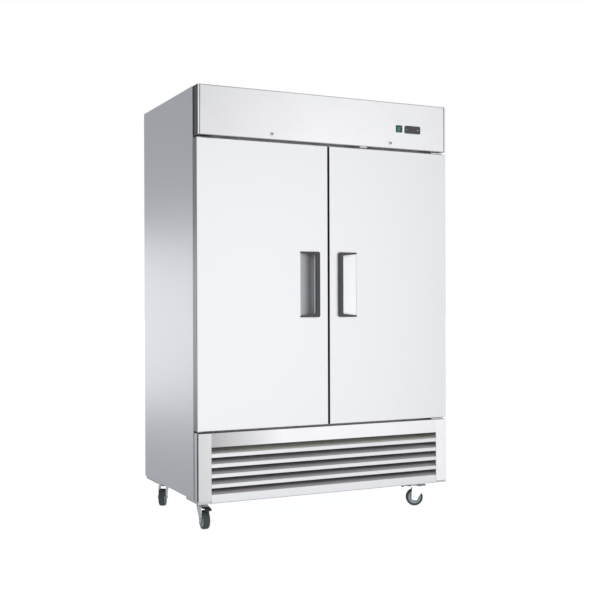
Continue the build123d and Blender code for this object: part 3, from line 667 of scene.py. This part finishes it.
class FRIDGE_OT_controls(bpy.types.Operator):
    """Rocker, controller and locks in the header"""

    bl_idname = "fridge.controls"
    bl_label = "Controls"

    def execute(self, context):
        softened("control_frames", "control_bezels", ["black_plastic"], "cabinet",
                 0.5 * MM, 2)
        softened("rocker_paddle", "switch_rocker", ["rocker_green"], "switch_rocker",
                 0.8 * MM, 3)
        softened("lock_rings", "lock_barrels", ["lock_chrome"], "cabinet", 0.3 * MM, 2)
        for side in SIDES:
            dress(f"lock_plug_{side}", "lock_face")
        self.display()
        return {"FINISHED"}

    def display(self):
        """Three dim seven-bar digits on the window's face, each bar a thin block."""
        low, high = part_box("controller_window")
        middle = (low + high) / 2
        tall, wide, bar = 11.0 * MM, 6.5 * MM, 1.1 * MM
        pitch, rise = 10.5 * MM, 3.5 * MM
        thick, proud = 0.2 * MM, 0.05 * MM
        level = [(0, dz, wide - bar, bar) for dz in (-tall / 2, 0, tall / 2)]
        upright = [(dx, dz, bar, tall / 2 - bar)
                   for dx in (-wide / 2, wide / 2) for dz in (-tall / 4, tall / 4)]
        bm = bmesh.new()
        for index in (-1, 0, 1):
            for dx, dz, across, along in level + upright:
                centre = Vector((middle.x + index * pitch + dx, low.y - proud, middle.z + rise + dz))
                half = Vector((across, thick, along)) / 2
                add_box(bm, centre - half, centre + half)
        seat("display_digits", bm, ["display_dim"], "cabinet", weighted=False)


class FRIDGE_OT_doors(bpy.types.Operator):
    """Door skins, linings and gaskets"""

    bl_idname = "fridge.doors"
    bl_label = "Doors"

    def execute(self, context):
        for side in SIDES:
            body = f"door_{side}"
            self.skin(body, context.scene.fridge_sizes.fold)
            self.lining(body)
            self.gasket(body)
        return {"FINISHED"}

    def skin(self, body, fold):
        """Folded outer skin, with its two upright edges painted darker as a dark reflection."""
        low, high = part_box(f"{body}_outer_skin")

        def outer(e):
            beside = in_plane(e, 0, low.x) or in_plane(e, 0, high.x)
            across = in_plane(e, 2, low.z) or in_plane(e, 2, high.z)
            return beside or across if in_plane(e, 1, low.y) else beside and across

        def upright(at, normal):
            return int(abs(normal.x) > 0.8 and not low.x + MM < at.x < high.x - MM)

        softened(f"{body}_skin", f"{body}_outer_skin", ["front_steel", "edge_steel"], body,
                 fold, 5, outer, upright)

    def lining(self, body):
        """Lining sheet with a raised field and a shallow channel round it."""
        low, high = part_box(f"{body}_inner_panel")
        back = high.y - 7 * MM
        steps = ((30, 0.0), (6, 6.8), (28, 0.0), (5, -4.0), (22, 0.0), (5, 4.0))
        bm = bmesh.new()
        add_box(bm, (low.x, low.y, low.z), (high.x, back, high.z))
        rear = max(bm.faces, key=lambda f: f.calc_center_median().y)
        for inset, depth in steps:
            bmesh.ops.inset_region(bm, faces=[rear], thickness=inset * MM, depth=depth * MM,
                                   use_even_offset=True)
        edges = [e for e in sharp_edges(bm, 20.0) if max(v.co.y for v in e.verts) > back - MM]
        round_edges(bm, edges, 1.6 * MM, 3)
        seat(f"{body}_lining", bm, ["door_lining"], body, (f"{body}_inner_panel",))

    def gasket(self, body):
        """Gasket with its mounting root, a bellows fold and a magnet tube."""
        low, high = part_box(f"{body}_gasket")
        deep = 10.6
        root = [(0.0, 0.5), (0.5, 0.15), (2.5, 0.0), (15.0, 0.0), (17.5, 0.4), (18.0, 1.0), (15.0, 1.6)]
        tube = [(13.5, 2.4), (14.5, 3.2), (18.0, 3.8), (19.4, 5.0), (19.8, 8.5), (19.0, 10.2), (17.6, deep),
                (5.0, deep), (2.4, 10.2), (1.2, 8.5), (1.4, 5.4), (3.2, 4.0), (4.4, 3.2)]
        fold = [(3.6, 2.2), (0.8, 1.4)]
        scale = (high.y - low.y) / deep
        profile = [(inset * MM, low.y + y * scale) for inset, y in root + tube + fold]
        bm = bmesh.new()
        add_frame(bm, (low.x, low.z), (high.x, high.z), profile)
        seat(f"{body}_seal", bm, ["gasket_rubber"], body, (f"{body}_gasket",), 40.0)


class FRIDGE_OT_pulls(bpy.types.Operator):
    """Recessed pulls: black trim and ramp pan, the right pan painted lighter as light."""

    bl_idname = "fridge.pulls"
    bl_label = "Pulls"

    def execute(self, context):
        for side in SIDES:
            self.trim(f"door_{side}", -1 if side == "left" else 1)
            self.pan(f"door_{side}", -1 if side == "left" else 1)
        return {"FINISHED"}

    def trim(self, body, way):
        """A U with an upright grip and two arms that thin out towards the shallow end."""
        low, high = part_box(f"{body}_handle_trim")
        near, far = (low.x, high.x) if way > 0 else (high.x, low.x)
        bar, arm, tip = 21 * MM, 16 * MM, 8 * MM
        inner = near + way * bar
        outline = [(near, low.z), (far, low.z), (far, low.z + tip), (inner, low.z + arm),
                   (inner, high.z - arm), (far, high.z - tip), (far, high.z), (near, high.z)]
        radii = [r * MM for r in (9, 3, 2, 5, 5, 2, 3, 9)]
        bm = bmesh.new()
        add_plate(bm, outline, high.y - low.y, radii)
        bmesh.ops.translate(bm, vec=(0, low.y, 0), verts=bm.verts[:])
        reach, thinning = abs(far - inner), 8.5 * MM
        for vert in bm.verts:
            if vert.co.y < high.y - MM:
                vert.co.y += thinning * max(0.0, (vert.co.x - inner) * way) / reach
        front = [e for e in sharp_edges(bm) if max(v.co.y for v in e.verts) < high.y - MM]
        round_edges(bm, front, 2.6 * MM, 4)
        seat(f"{body}_pull_trim", bm, ["black_plastic"], body, (f"{body}_handle_trim",),
             50.0)

    def pan(self, body, way):
        """Ramp from the door's face down to the deep channel under the grip."""
        low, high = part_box(f"{body}_handle_pan")
        near, far = (low.x, high.x) if way > 0 else (high.x, low.x)
        front, deep = low.y, high.y
        wall = 1.2 * MM
        outline = [(far, front), (far, front + 1.5 * MM), (near + way * 8 * MM, deep - wall),
                   (near + way * wall, deep - 8 * MM), (near + way * wall, front)]
        bm = bmesh.new()
        verts = [bm.verts.new((x, y, low.z + wall)) for x, y in outline]
        face = bm.faces.new(verts)
        raised(bm, face, (0, 0, high.z - low.z - 2 * wall))
        mouth = [f for f in bm.faces if all(abs(v.co.y - front) < 1e-5 for v in f.verts)]
        bmesh.ops.delete(bm, geom=mouth, context="FACES")
        round_edges(bm, [e for e in bm.edges if len(e.link_faces) == 2], 4 * MM, 4)
        bmesh.ops.reverse_faces(bm, faces=bm.faces[:])
        # Painted light and shade: the right pan gets a lighter copy of the left pan's steel.
        tone = "handle_steel" if way < 0 else "handle_bright"
        piece = seat(f"{body}_pull_pan", bm, [tone], body, (f"{body}_handle_pan",), 40.0)
        shell = piece.modifiers.new("wall", "SOLIDIFY")
        shell.thickness = wall * 0.9
        shell.offset = -1.0


class FRIDGE_OT_machine_cover(bpy.types.Operator):
    """Machine cover: folded frame and louvre blades"""

    bl_idname = "fridge.machine_cover"
    bl_label = "Machine cover"

    def execute(self, context):
        low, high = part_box("grille_frame")
        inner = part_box("louvre_grille")[1].x - MM
        stile = 6 * MM
        skin = 0.3 * MM
        seam_near, seam_far = low.y + 2 * MM, low.y + 22 * MM

        def part(at, normal):
            """0 the stiles and rims, 1 the outer sides, 2 the seam's recess, painted dark as shade, 3 the blank
            panel.
            """
            if abs(at.x) < high.x - stile:
                return 3 if abs(at.x) < inner and normal.y < -0.8 else 0
            if abs(at.x) > high.x - skin and abs(normal.x) > 0.8:
                return 1
            return 2 if seam_near < at.y < seam_far else 0

        softened("cover_frame", "grille_frame", ["cover_steel", "cabinet_steel", "end_cap", "blank_steel"],
                 "cabinet", 1.3 * MM, 3, lambda e: in_plane(e, 1, low.y), part,
                 (-inner, inner))
        self.louvres()
        return {"FINISHED"}

    def louvres(self):
        """Blades of bent sheet: a hemmed lip, an upright face and a slope up to the back."""
        low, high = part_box("louvre_grille")
        rows, pitch, first = 5, 47.8 * MM, 368.0 * MM
        lip, wall, bend = 18 * MM, 1.2 * MM, 1.4 * MM
        hem, slope, foot = 7 * MM, 33 * MM, 148 * MM
        y = low.y + wall
        bm = bmesh.new()
        for row in range(rows):
            top = first - row * pitch
            last = row == rows - 1
            bottom = low.z if last else top - lip
            path = [(y + hem, bottom + 1.5 * MM), (y, bottom if last else bottom + 0.4 * MM), (y, top),
                    (y + slope, top + slope)]
            verts = [bm.verts.new((low.x + MM, py, pz)) for py, pz in eased(path, bend)]
            for pair in zip(verts, verts[1:]):
                bm.edges.new(pair)
        made = bmesh.ops.extrude_edge_only(bm, edges=bm.edges[:])
        moved = [g for g in made["geom"] if isinstance(g, bmesh.types.BMVert)]
        bmesh.ops.translate(bm, vec=(high.x - low.x - 2 * MM, 0, 0), verts=moved)
        bmesh.ops.solidify(bm, geom=bm.faces[:], thickness=wall)
        bmesh.ops.recalc_face_normals(bm, faces=bm.faces[:])
        for x, sunk in ((low.x, 1.5 * MM), ((low.x + high.x - wall) / 2, 34 * MM), (high.x - wall, 1.5 * MM)):
            add_box(bm, (x, low.y + sunk, foot), (x + wall, high.y, high.z))
        bm.normal_update()
        # Painted shade and reflection: sloping faces and the plates' sides take a darker colour for shade, and the
        # top slope a warm colour for what it reflects.
        for face in bm.faces:
            if abs(face.normal.z) > 0.66 or abs(face.normal.x) > 0.9:
                face.material_index = 2 if face.calc_center_median().z > first + MM else 1
        seat("louvre_blades", bm, ["louvre_steel", "louvre_inside", "louvre_top"], "cabinet",
             ("louvre_grille",), 25.0)


class FRIDGE_OT_casters(bpy.types.Operator):
    """Casters: plates with ball races, forks, wheels and pedals"""

    bl_idname = "fridge.casters"
    bl_label = "Casters"

    def execute(self, context):
        softened("caster_tops", "caster_plates", ["caster_zinc"], "cabinet", 0.5 * MM, 2)
        joints = {j["name"]: j for j in frame["joints"]}
        for name in CASTERS:
            swivel = Vector(joints[f"caster_{name}_turn"]["pos_m"])
            roll = joints[f"wheel_{name}_roll"]
            axle = Vector(roll["axis"])
            trail = Vector((axle.y, -axle.x, 0.0))
            turn = Matrix((trail, axle, (0, 0, 1))).transposed().to_4x4()
            place = Matrix.Translation((swivel.x, swivel.y, 0)) @ turn
            reach = (Vector(roll["pos_m"]) - swivel).xy.length
            self.fork(name, place, reach)
            self.wheel(name, place, reach, context.scene.fridge_sizes.tread)
        for name in BRAKED:
            softened(f"pedal_{name}", f"brake_lever_{name}", ["pedal_black"], f"brake_{name}",
                     1.0 * MM, 3)
        return {"FINISHED"}

    def fork(self, name, place, reach):
        """Pressed fork: domed crown, two tapering legs, axle bolt and nuts, and ears for a pedal."""
        bm = bmesh.new()
        under, top = 104, 112
        crown = [(6.3, under), (6.3, top - 1), (17, top), (24, top - 1), (27.5, top - 4), (28, under)]
        add_turned(bm, [(r * MM, z * MM) for r, z in crown], 48)
        inside, outside = 18.5 * MM, 21.5 * MM
        leg = self.leg(reach, outside - inside)
        for offset in (-outside, inside):
            before = set(bm.verts)
            bm.from_mesh(leg)
            bmesh.ops.translate(bm, vec=(0, offset, 0), verts=[v for v in bm.verts if v not in before])
        bpy.data.meshes.remove(leg)
        wide = outside - 0.1 * MM
        bridge = add_box(bm, (-4 * MM, -wide, under * MM), (reach + 12 * MM, wide, (under + 3) * MM))
        round_edges(bm, edges_of(bridge), 0.5 * MM, 2)
        axle = WHEEL_RADIUS * MM
        add_tube(bm, (reach, -21 * MM, axle), (reach, 21 * MM, axle), 5 * MM, 24)
        for way in (-1, 1):
            nut = add_tube(bm, (reach, way * outside, axle), (reach, way * 26.6 * MM, axle), 8.4 * MM, 6)
            round_edges(bm, edges_of(nut), 0.6 * MM, 2)
            add_tube(bm, (reach, way * 26.5 * MM, axle), (reach, way * 27 * MM, axle), 4.2 * MM, 20)
        if name in BRAKED:
            x, z = reach + 17 * MM, under * MM
            for way in (-1, 1):
                ear = sorted((way * inside, way * wide))
                add_box(bm, (x - 8 * MM, ear[0], z - 4 * MM), (x + 4 * MM, ear[1], z + 3 * MM))
            add_tube(bm, (x, -inside, z), (x, inside, z), 2 * MM, 16)
        bmesh.ops.transform(bm, matrix=place, verts=bm.verts[:])
        seat(f"fork_{name}", bm, ["caster_zinc"], f"caster_{name}_swivel",
             (f"caster_{name}_fork",))

    def leg(self, reach, thick):
        """One leg of a fork, tapering from the crown to the axle, as a mesh to repeat."""
        axle = reach / MM
        outline = [(-24, 107), (-24, 98), (axle - 17, 43), (axle - 13, 32), (axle, 29), (axle + 13, 32),
                   (axle + 17, 43), (axle + 13, 107)]
        radii = [r * MM for r in (0, 6, 14, 5, 8, 5, 12, 0)]
        bm = bmesh.new()
        add_plate(bm, [(x * MM, z * MM) for x, z in outline], thick, radii, 4)
        round_edges(bm, sharp_edges(bm, 60.0), 0.5 * MM, 2)
        mesh = bpy.data.meshes.new("leg")
        bm.to_mesh(mesh)
        bm.free()
        return mesh

    def wheel(self, name, place, reach, steps):
        """Tyre with rounded shoulders on a dished hub; each outline is (radius, height) from the middle."""
        rim = WHEEL_RADIUS
        tread = [(rim - 12, 14.2), (rim - 11, 15.2), (rim - 4, 15.6), (rim - 1.4, 13.5), (rim - 0.2, 9.5)]
        tyre = [(r, -z) for r, z in tread] + [(rim, 0)] + tread[::-1] + [(rim - 13.2, 6), (rim - 13.2, -6)]
        node = f"caster_{name}_wheel"
        self.turned(f"tyre_{name}", name, tyre, "wheel_rubber", place, reach, steps, (node,))
        dish = [(5.06, 17.6), (11, 17.6), (12.8, 16.4), (13.4, 10), (16, 8), (24, 8), (25.5, 9), (26.5, 13.5),
                (28, 14.5), (31.8, 14.5), (32.8, 13.4), (31.6, 6)]
        hub = [(r, -z) for r, z in dish] + dish[::-1]
        self.turned(f"hub_{name}", name, hub, "wheel_hub", place, reach, steps)

    def turned(self, piece, name, outline, finish, place, reach, steps, nodes=()):
        """A ring about a wheel's axle, riding on its roller."""
        axle = Matrix.Translation((reach, 0, WHEEL_RADIUS * MM)) @ Matrix.Rotation(math.radians(90), 4, "X")
        bm = bmesh.new()
        add_turned(bm, [(r * MM, z * MM) for r, z in outline], steps)
        bmesh.ops.recalc_face_normals(bm, faces=bm.faces[:])
        bmesh.ops.transform(bm, matrix=place @ axle, verts=bm.verts[:])
        seat(piece, bm, [finish], f"caster_{name}_roller", nodes)


class FRIDGE_OT_shelves(bpy.types.Operator):
    """Round-wire shelves"""

    bl_idname = "fridge.shelves"
    bl_label = "Shelves"

    def execute(self, context):
        sizes = context.scene.fridge_sizes
        low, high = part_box("wire_shelves")
        levels = [z * MM for z in (760, 1030, 1300)]
        middle = 46 * MM
        bm = bmesh.new()
        for way in (-1, 1):
            ends = sorted((way * middle, way * high.x))
            for top in levels:
                self.shelf(bm, ends[0], ends[1], low.y, high.y, top, sizes)
        seat("shelf_wires", bm, ["shelf_wire"], "cabinet", ("wire_shelves",), weighted=False)
        return {"FINISHED"}

    def shelf(self, bm, x0, x1, y0, y1, top, sizes):
        """A frame of heavy wire with a cross wire under the middle, and fine wires from front to back."""
        heavy = 2.5 * MM
        z = top - heavy
        under = z - 0.4 * MM
        for y in (y0 + heavy, (y0 + y1) / 2, y1 - heavy):
            add_tube(bm, (x0 + heavy, y, under), (x1 - heavy, y, under), heavy, 10)
        for x in (x0 + heavy, x1 - heavy):
            add_tube(bm, (x, y0 + heavy, z), (x, y1 - heavy, z), heavy, 10)
        for index in range(1, sizes.wires):
            x, z = x0 + (x1 - x0) * index / sizes.wires, top - sizes.wire
            add_tube(bm, (x, y0 + 0.2 * MM, z), (x, y1 - 0.2 * MM, z), sizes.wire, 8)


class FRIDGE_OT_hardware(bpy.types.Operator):
    """Hinge brackets, inner trims and other small parts with eased edges"""

    bl_idname = "fridge.hardware"
    bl_label = "Hardware"

    def execute(self, context):
        # Painted shade: the left hinge plates take the dark colour and the right ones stay bright, though they are
        # the same steel.
        softened("hinge_plates", "hinge_brackets", ["hinge_steel", "end_cap"], "cabinet",
                 0.5 * MM, 2, None, lambda at, normal: int(at.x < 0))
        trims = (("evaporator_hood", "evaporator_cover", "liner_steel", 0.6, 2),
                 ("mullion_post", "center_mullion", "liner_steel", 1.2, 3),
                 ("electric_case", "electrical_box", "pan_plastic", 0.8, 2),
                 ("drip_pan", "condensate_pan", "pan_plastic", 0.6, 2))
        for piece, node, finish, width, segments in trims:
            softened(piece, node, [finish], "cabinet", width * MM, segments)
        for name in ("evaporator_fan", "condenser_fan"):
            softened(f"{name}_rotor", name, ["fan_plastic"], name, 0.4 * MM, 2)
        return {"FINISHED"}


class FRIDGE_OT_stage(bpy.types.Operator):
    """Pale floor, soft studio light and the camera"""

    bl_idname = "fridge.stage"
    bl_label = "Stage"

    def execute(self, context):
        self.floor()
        self.world(context.scene)
        self.lamp("key", (-3.2, -4.6, 3.6), (0.0, -0.3, 1.1), 3.2, 2.4, 12.0)
        self.lamp("side", (-2.4, 3.3, 0.9), (-0.7, 0.0, 0.9), 4.4, 1.5, 18.0)
        self.lamp("front", (1.5, -5.0, 1.1), (0.1, -0.4, 1.1), 5.0, 5.6, 68.0)
        self.lamp("low", (-1.1, -5.2, -0.7), (0.6, -0.3, 0.1), 2.0, 1.4, 10.0)
        self.camera(context.scene)
        context.scene.view_settings.view_transform = "Standard"
        return {"FINISHED"}

    def floor(self):
        bm = bmesh.new()
        bmesh.ops.create_grid(bm, x_segments=2, y_segments=2, size=60.0)
        mesh = bpy.data.meshes.new("floor")
        bm.to_mesh(mesh)
        bm.free()
        net = Net("floor_paper")
        cloud = net.noise(0.6, EVEN, 2.0)
        base = net.blend(cloud, (0.9, 0.9, 0.9, 1.0), (0.94, 0.94, 0.94, 1.0))
        net.surface({"Base Color": base, "Roughness": 0.9, "Emission Color": (1.0, 1.0, 1.0, 1.0),
                     "Emission Strength": 0.75})
        mesh.materials.append(net.material)
        floor = bpy.data.objects.new("floor", mesh)
        floor.visible_glossy = False
        floor.visible_diffuse = False
        floor.visible_shadow = False
        bpy.context.scene.collection.objects.link(floor)

    def world(self, scene):
        """White surround for the camera, a gentler grey dome for light and reflections."""
        world = bpy.data.worlds.new("studio")
        world.use_nodes = True
        tree = world.node_tree
        tree.nodes.clear()
        end = tree.nodes.new("ShaderNodeOutputWorld")
        mix = tree.nodes.new("ShaderNodeMixShader")
        path = tree.nodes.new("ShaderNodeLightPath")
        seen = tree.nodes.new("ShaderNodeBackground")
        seen.inputs["Color"].default_value = (1, 1, 1, 1)
        seen.inputs["Strength"].default_value = 1.0
        dome = tree.nodes.new("ShaderNodeBackground")
        dome.inputs["Color"].default_value = (0.92, 0.94, 0.97, 1)
        dome.inputs["Strength"].default_value = 0.55
        tree.links.new(path.outputs["Is Camera Ray"], mix.inputs[0])
        tree.links.new(dome.outputs[0], mix.inputs[1])
        tree.links.new(seen.outputs[0], mix.inputs[2])
        tree.links.new(mix.outputs[0], end.inputs["Surface"])
        scene.world = world

    def lamp(self, name, place, aim, width, height, power):
        data = bpy.data.lights.new(name, "AREA")
        data.shape = "RECTANGLE"
        data.size = width
        data.size_y = height
        data.energy = power
        lamp = bpy.data.objects.new(name, data)
        lamp.visible_camera = False
        lamp.location = place
        lamp.rotation_euler = (Vector(aim) - Vector(place)).to_track_quat("-Z", "Y").to_euler()
        bpy.context.scene.collection.objects.link(lamp)

    def camera(self, scene):
        """Level camera in front of the left side, at half height, that looks towards the doors' middle."""
        data = bpy.data.cameras.new("camera")
        data.lens = 60.863
        data.sensor_width = 36.0
        data.shift_y = 0.0151
        camera = bpy.data.objects.new("camera", data)
        camera.location = (-2.2833, -4.7985, 1.0683)
        heading = math.radians(-25.555)
        roll = math.radians(-0.192)
        turn = Matrix.Rotation(heading, 4, "Z") @ Matrix.Rotation(math.radians(90), 4, "X")
        camera.rotation_euler = (turn @ Matrix.Rotation(roll, 4, "Z")).to_euler()
        scene.collection.objects.link(camera)
        scene.camera = camera


class FRIDGE_PT_panel(bpy.types.Panel):
    """Lists the pieces of the refrigerator and their settings"""

    bl_idname = "FRIDGE_PT_panel"
    bl_label = "Refrigerator"
    bl_space_type = "VIEW_3D"
    bl_region_type = "UI"
    bl_category = "Refrigerator"

    def draw(self, context):
        for group in (context.scene.fridge_finish, context.scene.fridge_sizes):
            for name in group.__annotations__:
                self.layout.prop(group, name)
        for step in STEPS:
            self.layout.operator(step.bl_idname)


STEPS = (
    FRIDGE_OT_finishes,
    FRIDGE_OT_cabinet,
    FRIDGE_OT_header,
    FRIDGE_OT_controls,
    FRIDGE_OT_doors,
    FRIDGE_OT_pulls,
    FRIDGE_OT_machine_cover,
    FRIDGE_OT_casters,
    FRIDGE_OT_shelves,
    FRIDGE_OT_hardware,
    FRIDGE_OT_stage,
)
CLASSES = (FridgeFinish, FridgeSizes, *STEPS, FRIDGE_PT_panel)


def register():
    for cls in CLASSES:
        bpy.utils.register_class(cls)
    bpy.types.Scene.fridge_finish = PointerProperty(type=FridgeFinish)
    bpy.types.Scene.fridge_sizes = PointerProperty(type=FridgeSizes)


def unregister():
    del bpy.types.Scene.fridge_sizes
    del bpy.types.Scene.fridge_finish
    for cls in reversed(CLASSES):
        bpy.utils.unregister_class(cls)


def main():
    register()
    for step in STEPS:
        group, name = step.bl_idname.split(".")
        getattr(getattr(bpy.ops, group), name)()


if __name__ == "__main__":
    main()
